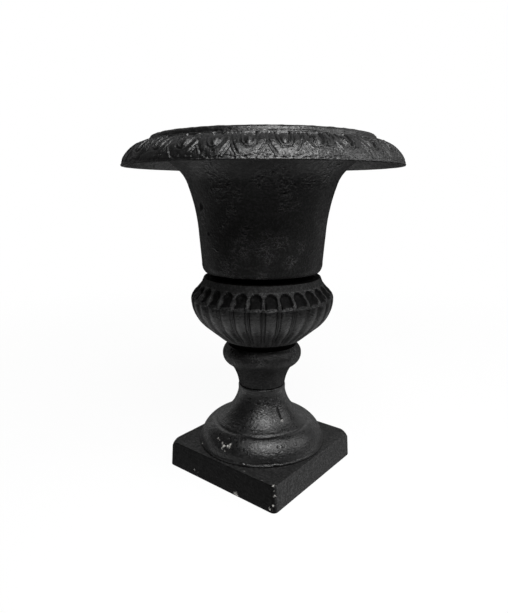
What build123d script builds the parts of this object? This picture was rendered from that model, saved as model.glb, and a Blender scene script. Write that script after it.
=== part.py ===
"""Garden urn of painted cast iron: pedestal, fluted bowl and bell, clamped in a stack by one tie rod.

Frame: millimetres, +Z up, origin on the floor at the middle of the plinth. The plinth's sides lie along X and Y.
Every casting is worked out from the floor up, so each level is the one below plus a height of its own.
"""
import os
from math import atan, cos, degrees, pi, sqrt

from build123d import *

CUTTER_PROUD = 1.0  # how far each cutter stands out of the face that it opens

# ------------------------------------------------------------------ driving dimensions: pedestal
PLINTH_SIDE = 113.1  # square foot, measured on the floor
PLINTH_TOP_SIDE = 111.0
PLINTH_HEIGHT = 22.1
PLINTH_CORNER_R = 4.0
PLINTH_EDGE_R = 1.5
PLINTH_CROWN_R = 8.0  # turned rounding of the four upper corners
PLINTH_CROWN_MARGIN = 0.4  # its centre lies this much further out and up than a tangent rounding's
TORUS_R = 52.6
TORUS_HEIGHT = 19.2  # plinth top up to the crease under the trumpet
TORUS_TOP_R = 39.6
TORUS_BULGE = 3.5
TRUMPET_HEIGHT = 31.0
TRUMPET_HOLLOW = 5.4  # how far the trumpet curves in from a straight cone
STEM_R = 19.4  # the waist, where pedestal and bowl meet
PLINTH_WALL = 5.0
CORE_FOOT_R = 45.5  # the hollow under the pedestal, at the plinth's roof
CORE_WAIST_R = 30.0  # and at the level of the crease

# ------------------------------------------------------------------ driving dimensions: fluted bowl
STEM_HEIGHT = 18.9  # seam up to the knop
STEM_HOLLOW = 1.5
KNOP_FOOT_R = 27.8
KNOP_OVERHANG = 0.9  # the knop's foot stands out over the stem
KNOP_HEIGHT = 16.4
KNOP_TOP_R = 28.3
KNOP_BULGE = 4.8
NECK_HEIGHT = 3.0
NECK_FLARE_HEIGHT = 2.6
BOWL_FOOT_R = 33.5
BOWL_R = 57.7  # at the equator
LOBE_R = 28.8  # radius of the lobes' arc, from the equator down
LOBE_ARC = 50.0  # degrees of it; straight from there to the neck
BOWL_DEPTH = 33.8  # neck up to the equator
SHOULDER_HEIGHT = 6.7
SHOULDER_R = 53.8
COVE_HEIGHT = 5.6
COVE_R = 48.9
LIP_HEIGHT = 4.7
BOWL_LIP_R = 47.0
LIP_CHAMFER = 0.7
LEDGE_THICKNESS = 4.0
CAVITY_R = 49.5  # inside the bowl at the equator
CAVITY_WAIST_R = 41.0
CAVITY_WAIST_RISE = 14.0  # above the bowl's foot
CAVITY_FLOOR_R = 24.0
CAVITY_FLOOR_RISE = 5.6
CORE_R = 16.0  # top of the tapered core that runs down into the knop
CORE_RISE = 4.8

# ------------------------------------------------------------------ driving dimensions: flutes and lobes
FLUTE_COUNT = 30
BOWL_TURN = 2.8  # degrees that the bowl is turned on its seat against the plinth's sides
FLUTE_HALF_WIDTH = 4.8  # also the radius of its round head
FLUTE_HEAD_RISE = 1.9  # the heads' centres lie this far up the cove from the shoulder
FLUTE_DEPTH = 3.4
FLUTE_BACK_R = 7.0  # hollow of the flute's back
SILL_ANGLE = 32.0  # the sill climbs at this angle from the equator to the flute's back
GROOVE_OFFSET = 1.3  # from the middle of the ridge between two lobes to the bottom of each groove beside it
GROOVE_DEPTH = 1.1
RIDGE_DROP = 0.2  # the ridge's crest lies this far under the lobes' crowns
LOBE_SHOULDER = 3.4  # from the middle of the ridge to where the lobes' crowns begin
GROOVE_RUNOUT = 3.0  # the grooves run on this far past the lobes' foot, into the neck

# ------------------------------------------------------------------ driving dimensions: bell
BELL_GAP = 4.2  # open groove between the bowl's lip and the bell
BELL_FOOT_R = 46.0
BELL_EDGE_HEIGHT = 7.0
BELL_EDGE_R = 48.2
BELL_SHAFT_HEIGHT = 22.0
BELL_SHAFT_R = 50.0
BELL_BODY_HEIGHT = 36.6
BELL_BODY_R = 57.3
BELL_BODY_HOLLOW = 1.3
FLARE_HEIGHT = 12.9
FLARE_R = 65.5
FLARE_HOLLOW = 1.2
BELL_WALL = 4.0
BELL_FLOOR = 5.0
RIM_R = 106.7
RIM_RISE = 1.1  # from the end of the flare up to the rim's widest line
EAVE_R = 82.5  # top of the hollow between the flare and the rim
EAVE_DROP = 5.0  # the hollow's top lies this far under the ovolo's
EAVE_FALL = 1.0  # and falls by this much on its way out to the rim
OVOLO_TOP_R = 86.9
OVOLO_HEIGHT = 18.1
OVOLO_BULGE = 3.9
RIM_WALL = 4.0
BEAD_R = 85.2
BEAD_HEIGHT = 4.1
BEAD_CHAMFER = 0.9
MOUTH_R = 80.5
DRAIN_COUNT = 4
DRAIN_R = 4.0
DRAIN_CIRCLE_R = 24.0

# ------------------------------------------------------------------ driving dimensions: how the pieces fit
RING_R = 40.6  # standing ring under the bell
RING_WIDTH = 5.4
RING_HEIGHT = 11.0
RING_CLEARANCE = 0.6
REGISTER_R = 11.0  # spigot on the pedestal's stem
REGISTER_HEIGHT = 3.0
REGISTER_CLEARANCE = 0.3
REGISTER_END_GAP = 0.5
REGISTER_CHAMFER = 0.6

# ------------------------------------------------------------------ driving dimensions: tie rod, nuts and washers
ROD_R = 4.0
ROD_CHAMFER = 0.8
ROD_PROUD = 3.5  # what stands out of each nut
ROD_CLEARANCE = 0.8  # radial, in the castings' holes
NUT_ACROSS_FLATS = 13.0
NUT_HEIGHT = 6.5
NUT_SIDES = 6
NUT_CHAMFER = 0.7
NUT_CHAMFER_ANGLE = 30.0
WASHER_R = 12.0
WASHER_THICKNESS = 2.0
WASHER_CLEARANCE = 0.2
BOSS_DEPTH = 18.0  # stem seam down to the washer's seat inside the pedestal
BOSS_SEAT_MARGIN = 2.0

# ------------------------------------------------------------------ levels, from the floor up
torus_foot_z = PLINTH_HEIGHT
crease_z = torus_foot_z + TORUS_HEIGHT
seam_z = crease_z + TRUMPET_HEIGHT
knop_foot_z = seam_z + STEM_HEIGHT
knop_top_z = knop_foot_z + KNOP_HEIGHT
neck_top_z = knop_top_z + NECK_HEIGHT
bowl_foot_z = neck_top_z + NECK_FLARE_HEIGHT
equator_z = bowl_foot_z + BOWL_DEPTH
shoulder_z = equator_z + SHOULDER_HEIGHT
cove_z = shoulder_z + COVE_HEIGHT
bowl_lip_z = cove_z + LIP_HEIGHT
bell_foot_z = bowl_lip_z + BELL_GAP
bell_edge_z = bell_foot_z + BELL_EDGE_HEIGHT
bell_shaft_z = bell_edge_z + BELL_SHAFT_HEIGHT
bell_body_z = bell_shaft_z + BELL_BODY_HEIGHT
flare_z = bell_body_z + FLARE_HEIGHT
floor_z = bell_foot_z + BELL_FLOOR
ring_foot_z = bell_foot_z - RING_HEIGHT
rim_z = flare_z + RIM_RISE
ovolo_top_z = rim_z + OVOLO_HEIGHT
top_z = ovolo_top_z + BEAD_HEIGHT

rod_hole_r = ROD_R + ROD_CLEARANCE
seat_z = seam_z - BOSS_DEPTH
seat_r = WASHER_R + BOSS_SEAT_MARGIN

os.makedirs("parts", exist_ok=True)

# ------------------------------------------------------------------ pedestal
plinth_taper = degrees(atan((PLINTH_SIDE - PLINTH_TOP_SIDE) / 2 / PLINTH_HEIGHT))
plinth_roof_z = PLINTH_HEIGHT - PLINTH_WALL
plinth_foot_reach = PLINTH_SIDE / sqrt(2) - PLINTH_CORNER_R * (sqrt(2) - 1)  # axis to corner, on the floor
plinth_top_reach = plinth_foot_reach - (PLINTH_SIDE - PLINTH_TOP_SIDE) / 2

with BuildPart() as pedestal:
    # Drafted square plinth, its upper corners rounded off by a turned crown.
    with BuildSketch(Plane.XY):
        RectangleRounded(PLINTH_SIDE, PLINTH_SIDE, PLINTH_CORNER_R)
    extrude(amount=PLINTH_HEIGHT, taper=plinth_taper)
    fillet(pedestal.edges().group_by(Axis.Z)[-1], PLINTH_EDGE_R)
    with BuildSketch(Plane.XZ):
        with BuildLine():
            Polyline(
                (0, -CUTTER_PROUD),
                (plinth_foot_reach + PLINTH_CROWN_MARGIN, -CUTTER_PROUD),
                (plinth_top_reach + PLINTH_CROWN_MARGIN, PLINTH_HEIGHT + PLINTH_CROWN_MARGIN),
                (0, PLINTH_HEIGHT + PLINTH_CROWN_MARGIN),
                close=True,
            )
        make_face()
        fillet(vertices().group_by(Axis.Y)[-1].sort_by(Axis.X)[-1], PLINTH_CROWN_R)
    revolve(axis=Axis.Z, mode=Mode.INTERSECT)
    # Torus, trumpet and lower stem, turned about the axis.
    with BuildSketch(Plane.XZ):
        with BuildLine():
            base = Line((0, plinth_roof_z), (TORUS_R, plinth_roof_z))
            side = Line(base @ 1, (TORUS_R, torus_foot_z))
            torus = SagittaArc(side @ 1, (TORUS_TOP_R, crease_z), -TORUS_BULGE)
            trumpet = SagittaArc(torus @ 1, (STEM_R, seam_z), TRUMPET_HOLLOW)
            Polyline(trumpet @ 1, (0, seam_z), base @ 0)
        make_face()
    revolve(axis=Axis.Z)
    # Register that centres the bowl's stem.
    with Locations((0, 0, seam_z)):
        Cylinder(REGISTER_R, REGISTER_HEIGHT, align=(Align.CENTER, Align.CENTER, Align.MIN))
    chamfer(pedestal.edges().group_by(Axis.Z)[-1], REGISTER_CHAMFER)
    # Hollow underside: a drafted square under the plinth and a cored cone up to the washer's seat.
    with BuildSketch(Plane.XY):
        RectangleRounded(PLINTH_SIDE - 2 * PLINTH_WALL, PLINTH_SIDE - 2 * PLINTH_WALL, PLINTH_CORNER_R)
    extrude(amount=plinth_roof_z, taper=plinth_taper, mode=Mode.SUBTRACT)
    with BuildSketch(Plane.XZ):
        with BuildLine():
            Polyline(
                (0, plinth_roof_z - CUTTER_PROUD),
                (CORE_FOOT_R, plinth_roof_z - CUTTER_PROUD),
                (CORE_FOOT_R, torus_foot_z),
                (CORE_WAIST_R, crease_z),
                (seat_r, seat_z),
                (0, seat_z),
                close=True,
            )
        make_face()
    revolve(axis=Axis.Z, mode=Mode.SUBTRACT)
    with Locations((0, 0, seat_z)):
        Cylinder(rod_hole_r, 2 * (BOSS_DEPTH + REGISTER_HEIGHT + CUTTER_PROUD), mode=Mode.SUBTRACT)

pedestal.part.label = "pedestal"
export_step(pedestal.part, "parts/pedestal.step")

# ------------------------------------------------------------------ cutters for the bowl's flutes and lobes
lobe_centre = Vector(BOWL_R - LOBE_R, equator_z)
lobe_knee = lobe_centre + Vector(LOBE_R, 0).rotate(Axis.Z, -LOBE_ARC)
lobe_fall = (Vector(BOWL_FOOT_R, bowl_foot_z) - lobe_knee).normalized()


def across_meridian(point, direction):
    """Plane at a point (r, z) of the meridian: its z axis along direction, its x axis outwards, its y axis sideways."""
    outwards = Vector(-direction.Y, 0, direction.X)
    return Plane((point.X, 0, point.Y), x_dir=outwards, z_dir=(direction.X, 0, direction.Y))


# Round-headed hollow down the slope of the shoulder, closed below by a sill that climbs from the equator.
flute_fall = (Vector(BOWL_R, equator_z) - Vector(COVE_R, cove_z)).normalized()
cove_fall = (Vector(SHOULDER_R, shoulder_z) - Vector(COVE_R, cove_z)).normalized()
flute_head = Vector(SHOULDER_R, shoulder_z) - cove_fall * FLUTE_HEAD_RISE
flute_section = across_meridian(flute_head, flute_fall)
flute_face = Plane(flute_section.origin, x_dir=flute_section.y_dir, z_dir=flute_section.x_dir)
flute_length = 2 * (BOWL_R - flute_head.X)
sill_plane = Plane((BOWL_R, 0, equator_z)).rotated((0, SILL_ANGLE, 0))

with BuildPart() as flute_cutter:
    # Outline of the hollow, seen square on: a half round above a straight-sided run.
    with BuildSketch(flute_face):
        Circle(FLUTE_HALF_WIDTH)
        Rectangle(2 * FLUTE_HALF_WIDTH, flute_length, align=(Align.CENTER, Align.MIN))
    extrude(amount=FLUTE_DEPTH + CUTTER_PROUD, both=True)
    # Its hollow back, and the sill.
    with BuildSketch(flute_section):
        with Locations((FLUTE_BACK_R - FLUTE_DEPTH, 0)):
            Circle(FLUTE_BACK_R)
        with Locations((FLUTE_BACK_R - FLUTE_DEPTH, 0)):
            Rectangle(2 * FLUTE_BACK_R, 2 * FLUTE_BACK_R, align=(Align.MIN, Align.CENTER))
    extrude(amount=2 * flute_length, both=True, mode=Mode.INTERSECT)
    split(bisect_by=sill_plane, keep=Keep.TOP)

# Two grooves with a sharp ridge between them, led down the meridian of the lobes.
equator_section = across_meridian(Vector(BOWL_R, equator_z), Vector(0, -1))
knee_section = across_meridian(lobe_knee, lobe_fall)
foot_distance = (Vector(BOWL_FOOT_R, bowl_foot_z) - lobe_knee).length


def groove_outline():
    """Section of the pair of grooves, over the crowns' line, for the sketch that is open."""
    Polygon(
        (GROOVE_DEPTH, -LOBE_SHOULDER - GROOVE_DEPTH),
        (0, -LOBE_SHOULDER),
        (-GROOVE_DEPTH, -GROOVE_OFFSET),
        (-RIDGE_DROP, 0),
        (-GROOVE_DEPTH, GROOVE_OFFSET),
        (0, LOBE_SHOULDER),
        (GROOVE_DEPTH, LOBE_SHOULDER + GROOVE_DEPTH),
        align=None,
    )


with BuildPart() as groove_cutter:
    with BuildSketch(equator_section):
        groove_outline()
    revolve(axis=Axis((lobe_centre.X, 0, lobe_centre.Y), (0, 1, 0)), revolution_arc=LOBE_ARC)
    with BuildSketch(knee_section):
        groove_outline()
    extrude(amount=foot_distance + GROOVE_RUNOUT)

# ------------------------------------------------------------------ fluted bowl
mouth_r = RING_R + RING_CLEARANCE
ledge_r = RING_R - RING_WIDTH

with BuildPart() as fluted_bowl:
    # Stem, knop, neck, lobed body, shoulder, cove and lip.
    with BuildSketch(Plane.XZ):
        with BuildLine():
            seam = Line((0, seam_z), (STEM_R, seam_z))
            stem = SagittaArc(seam @ 1, (KNOP_FOOT_R - KNOP_OVERHANG, knop_foot_z), STEM_HOLLOW)
            knop_foot = Line(stem @ 1, (KNOP_FOOT_R, knop_foot_z))
            knop = SagittaArc(knop_foot @ 1, (KNOP_TOP_R, knop_top_z), -KNOP_BULGE)
            Polyline(knop @ 1, (KNOP_TOP_R, neck_top_z), (BOWL_FOOT_R, bowl_foot_z), lobe_knee)
            lobes = CenterArc(lobe_centre, LOBE_R, -LOBE_ARC, LOBE_ARC)
            shoulder = Polyline(lobes @ 1, (SHOULDER_R, shoulder_z), (COVE_R, cove_z))
            Polyline(shoulder @ 1, (BOWL_LIP_R, bowl_lip_z), (0, bowl_lip_z), seam @ 0)
        make_face()
    revolve(axis=Axis.Z)
    chamfer(fluted_bowl.edges().group_by(Axis.Z)[-1], LIP_CHAMFER)
    # Flutes above the equator, grooves and ridges below it.
    with PolarLocations(0, FLUTE_COUNT, start_angle=BOWL_TURN):
        add(flute_cutter.part, mode=Mode.SUBTRACT)
    with PolarLocations(0, FLUTE_COUNT, start_angle=BOWL_TURN + 180 / FLUTE_COUNT):
        add(groove_cutter.part, mode=Mode.SUBTRACT)
    # Mouth and ledge for the bell's standing ring, cavity, and the tapered core down to the rod's hole.
    with BuildSketch(Plane.XZ):
        with BuildLine():
            Polyline(
                (0, bowl_lip_z + CUTTER_PROUD),
                (mouth_r, bowl_lip_z + CUTTER_PROUD),
                (mouth_r, ring_foot_z),
                (ledge_r, ring_foot_z),
                (ledge_r, ring_foot_z - LEDGE_THICKNESS),
                (CAVITY_R, equator_z),
                (CAVITY_WAIST_R, bowl_foot_z + CAVITY_WAIST_RISE),
                (CAVITY_FLOOR_R, bowl_foot_z + CAVITY_FLOOR_RISE),
                (CORE_R, bowl_foot_z + CORE_RISE),
                (rod_hole_r, knop_foot_z),
                (0, knop_foot_z),
                close=True,
            )
        make_face()
    revolve(axis=Axis.Z, mode=Mode.SUBTRACT)
    with Locations((0, 0, seam_z)):
        Cylinder(rod_hole_r, 2 * (STEM_HEIGHT + CUTTER_PROUD), mode=Mode.SUBTRACT)
        Cylinder(REGISTER_R + REGISTER_CLEARANCE, 2 * (REGISTER_HEIGHT + REGISTER_END_GAP), mode=Mode.SUBTRACT)

fluted_bowl.part.label = "fluted_bowl"
export_step(fluted_bowl.part, "parts/fluted_bowl.step")

# ------------------------------------------------------------------ bell
eave = Vector(EAVE_R, ovolo_top_z - EAVE_DROP)
flare_end = Vector(FLARE_R, flare_z)
flare_rise = (eave - flare_end).normalized()
flare_inside = flare_end + Vector(-flare_rise.Y, flare_rise.X) * BELL_WALL
mouth_foot_z = flare_inside.Y + (MOUTH_R - flare_inside.X) * flare_rise.Y / flare_rise.X

with BuildPart() as bell:
    # Outside: foot and shaft, body, flare, hollow under the rim, lip, ovolo and bead.
    with BuildSketch(Plane.XZ):
        with BuildLine():
            foot = Line((0, bell_foot_z), (BELL_FOOT_R, bell_foot_z))
            shaft = Polyline(foot @ 1, (BELL_EDGE_R, bell_edge_z), (BELL_SHAFT_R, bell_shaft_z))
            body = SagittaArc(shaft @ 1, (BELL_BODY_R, bell_body_z), BELL_BODY_HOLLOW)
            flare = SagittaArc(body @ 1, flare_end, FLARE_HOLLOW)
            lip = Polyline(
                flare @ 1,
                eave,
                (OVOLO_TOP_R + RIM_WALL, ovolo_top_z - EAVE_DROP - EAVE_FALL),
                (RIM_R - RIM_WALL, rim_z),
                (RIM_R, rim_z),
            )
            ovolo = SagittaArc(lip @ 1, (OVOLO_TOP_R, ovolo_top_z), -OVOLO_BULGE)
            Polyline(ovolo @ 1, (BEAD_R, ovolo_top_z), (BEAD_R, top_z), (0, top_z), foot @ 0)
        make_face()
    revolve(axis=Axis.Z)
    # Standing ring under the floor.
    with BuildSketch(Plane.XY.offset(ring_foot_z)):
        Circle(RING_R)
        Circle(ledge_r, mode=Mode.SUBTRACT)
    extrude(amount=RING_HEIGHT)
    # Inside, one wall in from the outside.
    with BuildSketch(Plane.XZ):
        with BuildLine():
            shaft_inside = Polyline(
                (0, top_z),
                (0, floor_z),
                (BELL_EDGE_R - BELL_WALL, floor_z),
                (BELL_SHAFT_R - BELL_WALL, bell_shaft_z),
            )
            body_inside = SagittaArc(shaft_inside @ 1, (BELL_BODY_R - BELL_WALL, bell_body_z), BELL_BODY_HOLLOW)
            flare_line = SagittaArc(body_inside @ 1, flare_inside, FLARE_HOLLOW)
            Polyline(flare_line @ 1, (MOUTH_R, mouth_foot_z), (MOUTH_R, top_z), (0, top_z))
        make_face()
    revolve(axis=Axis.Z, mode=Mode.SUBTRACT)
    chamfer(bell.edges().group_by(Axis.Z)[-1], BEAD_CHAMFER)
    # Hole for the tie rod, and the drain holes round it.
    with Locations((0, 0, bell_foot_z)):
        Cylinder(rod_hole_r, 2 * (BELL_FLOOR + CUTTER_PROUD), mode=Mode.SUBTRACT)
        with PolarLocations(DRAIN_CIRCLE_R, DRAIN_COUNT, start_angle=180 / DRAIN_COUNT):
            Cylinder(DRAIN_R, 2 * (BELL_FLOOR + CUTTER_PROUD), mode=Mode.SUBTRACT)

bell.part.label = "bell"
export_step(bell.part, "parts/bell.step")

# ------------------------------------------------------------------ tie rod, washers and nuts
rod_foot_z = seat_z - WASHER_THICKNESS - NUT_HEIGHT - ROD_PROUD
rod_top_z = floor_z + WASHER_THICKNESS + NUT_HEIGHT + ROD_PROUD

with BuildPart() as tie_rod:
    with BuildSketch(Plane.XY.offset(rod_foot_z)):
        Circle(ROD_R)
    extrude(amount=rod_top_z - rod_foot_z)
    chamfer(tie_rod.edges().filter_by(GeomType.CIRCLE), ROD_CHAMFER)

tie_rod.part.label = "tie_rod"
export_step(tie_rod.part, "parts/tie_rod.step")


def make_washer(name, foot_z):
    """Plain washer that lies on foot_z."""
    with BuildPart() as washer:
        with BuildSketch(Plane.XY.offset(foot_z)):
            Circle(WASHER_R)
            Circle(ROD_R + WASHER_CLEARANCE, mode=Mode.SUBTRACT)
        extrude(amount=WASHER_THICKNESS)
    washer.part.label = name
    export_step(washer.part, f"parts/{name}.step")


def make_nut(name, foot_z):
    """Hexagon nut whose lower face is at foot_z, its corners chamfered on both faces."""
    corner_r = NUT_ACROSS_FLATS / 2 / cos(pi / NUT_SIDES)
    with BuildPart() as nut:
        with BuildSketch(Plane.XY.offset(foot_z)):
            RegularPolygon(NUT_ACROSS_FLATS / 2, NUT_SIDES, major_radius=False)
        extrude(amount=NUT_HEIGHT)
        with BuildSketch(Plane.XZ):
            with Locations((0, foot_z + NUT_HEIGHT / 2)):
                Rectangle(2 * corner_r, NUT_HEIGHT)
            chamfer(vertices(), NUT_CHAMFER, angle=NUT_CHAMFER_ANGLE)
            with Locations((-corner_r, foot_z + NUT_HEIGHT / 2)):
                Rectangle(2 * corner_r, NUT_HEIGHT, mode=Mode.SUBTRACT)
        revolve(axis=Axis.Z, mode=Mode.INTERSECT)
        with Locations((0, 0, foot_z)):
            Cylinder(ROD_R, 2 * (NUT_HEIGHT + CUTTER_PROUD), mode=Mode.SUBTRACT)
    nut.part.label = name
    export_step(nut.part, f"parts/{name}.step")


make_washer("top_washer", floor_z)
make_nut("top_nut", floor_z + WASHER_THICKNESS)
make_washer("bottom_washer", seat_z - WASHER_THICKNESS)
make_nut("bottom_nut", seat_z - WASHER_THICKNESS - NUT_HEIGHT)
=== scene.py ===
"""Garden urn of black painted cast iron: pedestal, fluted bowl and bell in a stack, with their tie rod.

The three castings are one closed mesh each, turned from an outline in millimetres that repeats the CAD's
driving dimensions, softened as a casting is, and carved and roughened along its own normals.
"""
from math import atan2, cos, hypot, pi, radians, sin

import bpy
import numpy as np
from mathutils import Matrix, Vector, noise
from mathutils.bvhtree import BVHTree


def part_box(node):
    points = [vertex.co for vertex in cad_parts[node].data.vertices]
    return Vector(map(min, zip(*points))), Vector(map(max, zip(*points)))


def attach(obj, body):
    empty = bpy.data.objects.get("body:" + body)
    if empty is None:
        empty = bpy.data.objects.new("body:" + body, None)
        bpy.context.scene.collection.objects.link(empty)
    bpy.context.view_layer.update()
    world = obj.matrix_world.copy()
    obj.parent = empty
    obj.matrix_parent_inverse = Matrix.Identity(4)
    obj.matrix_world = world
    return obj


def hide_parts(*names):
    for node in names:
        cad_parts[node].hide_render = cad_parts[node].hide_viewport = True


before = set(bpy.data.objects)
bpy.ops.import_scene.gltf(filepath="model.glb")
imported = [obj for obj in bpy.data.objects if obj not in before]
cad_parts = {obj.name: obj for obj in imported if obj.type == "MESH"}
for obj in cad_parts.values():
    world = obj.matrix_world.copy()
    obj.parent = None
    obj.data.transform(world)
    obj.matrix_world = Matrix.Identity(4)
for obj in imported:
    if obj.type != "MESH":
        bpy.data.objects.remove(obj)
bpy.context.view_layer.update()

MM = 0.001
SEED = 7
rng = np.random.default_rng(SEED)

# ------------------------------------------------------------------ levels and radii of the castings, in mm
PLINTH_HALF, PLINTH_TOP_HALF, PLINTH_TOP = 56.55, 55.5, 22.1
PLINTH_CORNER_R, PLINTH_WALL = 4.0, 5.0
CROWN_R, FRONT_CROWN_R = 8.0, 3.5  # turned rounding of the plinth's upper corners, and of the one in front
CROWN_MARGIN, CROWN_REACH = 0.4, 77.67  # how far it starts above the plinth's top, and where its side stands
TORUS_R, CREASE_R, CREASE = 52.6, 39.6, 41.3
STEM_R, SEAM = 19.4, 72.3
CORE_FOOT_R, CORE_WAIST_R, SEAT_R, SEAT = 45.5, 30.0, 14.0, 54.3
REGISTER_R, REGISTER_TOP = 11.0, 75.3
SOCKET_R, SOCKET_TOP = REGISTER_R + 0.3, REGISTER_TOP + 0.5
ROD_HOLE_R = 4.8
KNOP_FOOT_R, KNOP_FOOT, KNOP_TOP_R, KNOP_TOP, KNOP_OVERHANG = 27.8, 91.2, 28.3, 107.6, 0.9
NECK_TOP, BOWL_FOOT_R, BOWL_FOOT = 110.6, 33.5, 113.2
BOWL_R, EQUATOR, LOBE_R, LOBE_ARC = 57.7, 147.0, 28.8, 50.0
SHOULDER_R, SHOULDER, COVE_R, COVE = 53.8, 153.7, 48.9, 159.3
BOWL_LIP_R, BOWL_LIP, MOUTH_R = 47.0, 164.0, 41.2
LEDGE_R, LEDGE, LEDGE_FOOT = 35.2, 157.2, 153.2
CAVITY = ((49.5, EQUATOR), (41.0, 127.2), (24.0, 118.8), (16.0, 118.0))  # the bowl's inside, downwards
RING_R, RING_FOOT = 40.6, 157.2
BELL_FOOT_R, BELL_FOOT, FLOOR = 46.0, 168.2, 173.2
EDGE_R, EDGE, SHAFT_R, SHAFT = 48.2, 175.2, 50.0, 197.2
BODY_R, BODY, FLARE_R, FLARE = 57.3, 233.8, 65.5, 246.7
EAVE_R, EAVE = 82.5, 260.9
RIM_R, RIM, OVOLO_TOP_R, OVOLO_TOP = 106.7, 247.8, 86.9, 265.9
BEAD_R, TOP, BELL_MOUTH_R = 85.2, 270.0, 80.5
BEAD_STEP, BEAD_WIDTH = 0.8, 2.6
LIP_R, LIP_SAG = 0.8, 0.29  # rounding of the rim's lower edge, and a quarter circle's sagitta over its radius
BELL_WALL, RIM_WALL, EAVE_DIP = 4.0, 4.0, 1.0
DRAIN_R, DRAIN_CIRCLE_R, DRAIN_COUNT = 4.0, 24.0, 4
# How far the middle of each arc stands off its chord; below zero where the form is hollow.
BULGE = {"torus": 3.5, "trumpet": -5.4, "stem": -1.5, "knop": 4.8, "shoulder": 0.85, "edge": 0.8,
         "shaft": -1.3, "flare": -1.2, "ovolo": 3.7, "bead": 0.6}


# ------------------------------------------------------------------ outlines
class Outline:
    """Closed outline (r, z) of a turned casting, outside upwards, as named runs of lines and arcs."""

    STEP = 0.1  # mm between the points that a run is sampled at

    def __init__(self, r, z):
        self.at, self.points, self.tags, self.grain, self.square = (r, z), [], [], [], []

    def _add(self, run, tag, grain, square):
        self.points += run
        self.tags += [tag] * len(run)
        self.grain += [grain] * len(run)
        start, end = square
        self.square += [start + (end - start) * i / len(run) for i in range(len(run))]

    def line(self, r, z, tag="", grain=1.0, square=(0, 0)):
        (r0, z0), n = self.at, max(2, round(hypot(r - self.at[0], z - self.at[1]) / self.STEP))
        self._add([(r0 + (r - r0) * i / n, z0 + (z - z0) * i / n) for i in range(n)], tag, grain, square)
        self.at = (r, z)
        return self

    def arc(self, r, z, bulge, tag="", grain=1.0, square=(0, 0)):
        """Arc to (r, z) whose middle stands bulge off the chord, to the right of travel."""
        r0, z0 = self.at
        chord = hypot(r - r0, z - z0)
        radius = (chord**2 / 4 + bulge**2) / 2 / abs(bulge)
        right = ((z - z0) / chord, (r0 - r) / chord)
        off = abs(bulge) - radius
        side = 1 if bulge > 0 else -1
        centre = ((r0 + r) / 2 + side * off * right[0], (z0 + z) / 2 + side * off * right[1])
        a0 = atan2(z0 - centre[1], r0 - centre[0])
        turn = atan2(z - centre[1], r - centre[0]) - a0
        turn = (turn + pi) % (2 * pi) - pi
        n = max(2, round(abs(turn) * radius / self.STEP))
        run = [(centre[0] + radius * cos(a0 + turn * i / n), centre[1] + radius * sin(a0 + turn * i / n))
               for i in range(n)]
        self._add(run, tag, grain, square)
        self.at = (r, z)
        return self

    def rows(self, soft, coarse, fine, fine_tags, turn=0.22):
        """Rows along the outline: points softened over soft mm, coarse or, on fine_tags, fine mm apart, and
        closer where it bends, with one for each turn radians."""
        p = np.array(self.points)
        p = blurred(p, soft / self.STEP)
        grain = blurred(np.array(self.grain, float), 1.5 * soft / self.STEP)
        step = np.roll(p, -1, 0) - p
        length = np.hypot(*step.T)
        heading = np.unwrap(np.arctan2(step[:, 1], step[:, 0]))
        bend = np.abs(np.diff(heading, append=heading[-1]))
        is_fine = np.isin(self.tags, fine_tags)
        cost = np.cumsum(length / np.where(is_fine, fine, coarse) + bend / turn)
        pick = np.searchsorted(cost, np.arange(0, cost[-1], 1.0))
        pick = np.unique(np.clip(pick, 0, len(p) - 1))
        tangent = blurred(step / np.maximum(length, 1e-9)[:, None], 2)
        tangent /= np.hypot(*tangent.T)[:, None]
        normal = np.stack([tangent[:, 1], -tangent[:, 0]], 1)
        tags, square = np.array(self.tags), np.array(self.square)
        return Rows(p[pick], normal[pick], tags[pick], grain[pick], square[pick])


class Rows:
    """Rows of a casting's vertices: radius, level, normal, tag, grain, and how square each is."""

    def __init__(self, points, normals, tags, grain, square):
        self.r, self.z = points.T
        self.nr, self.nz = normals.T
        self.tags, self.grain, self.square = tags, grain, square
        step = np.roll(points, -1, 0) - points
        self.along = np.concatenate([[0], np.cumsum(np.hypot(*step.T))[:-1]])

    def down_from(self, tag):
        """Distance of each row from the last row of tag, against the direction of travel."""
        return self.along[np.flatnonzero(self.tags == tag)[-1]] - self.along

    def up_from(self, tag):
        return self.along - self.along[np.flatnonzero(self.tags == tag)[-1]]


def blurred(values, sigma):
    """values round a closed loop, each averaged with its neighbours under a bell curve sigma samples wide."""
    reach = int(4 * sigma) + 1
    weights = np.exp(-(np.arange(-reach, reach + 1) ** 2) / 2 / sigma**2)
    weights /= weights.sum()
    return sum(w * np.roll(values, k, 0) for k, w in zip(range(-reach, reach + 1), weights))


def ramp(low, high, x):
    """0 below low, 1 above high, smooth between."""
    t = np.clip((x - low) / (high - low), 0, 1)
    return t * t * (3 - 2 * t)


def bump(distance, width):
    """1 at no distance, fading to both sides under a bell curve."""
    return np.exp(-((distance / width) ** 2))


# ------------------------------------------------------------------ castings as meshes
# Places in `finishes`, and the tags of the outlines that have them. Every other tag is glossy.
GLOSSY_PAINT, BARE_IRON_AND_SHADE, PLINTH_LIGHT_PAINT, DARK_PAINT, SATIN_PAINT, NICHE_SHADE_PAINT = range(6)
FINISH = {tag: finish for finish, tags in (
    # Raw iron in the joints; on the bowl's neck and in the gap under the bell the same near-black is painted
    # shade.
    (BARE_IRON_AND_SHADE, "seat hole floor neck"),
    (PLINTH_LIGHT_PAINT, "plinth"),
    (DARK_PAINT, "plinth_top stem lip"),
    (SATIN_PAINT, "knop flutes cavity shaft flare eave inside core roof"),
) for tag in tags.split()}
NICHE_DARK = 1.5  # niches deeper than this get painted shade
MACHINED = 0.02  # rows with no more grain than this are smooth
LUMP_MM, LUMP_DEPTH = 11.0, 0.16  # slow waves of a sand mould
GRIT_MM, GRIT_DEPTH = 3.2, 0.10


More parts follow.
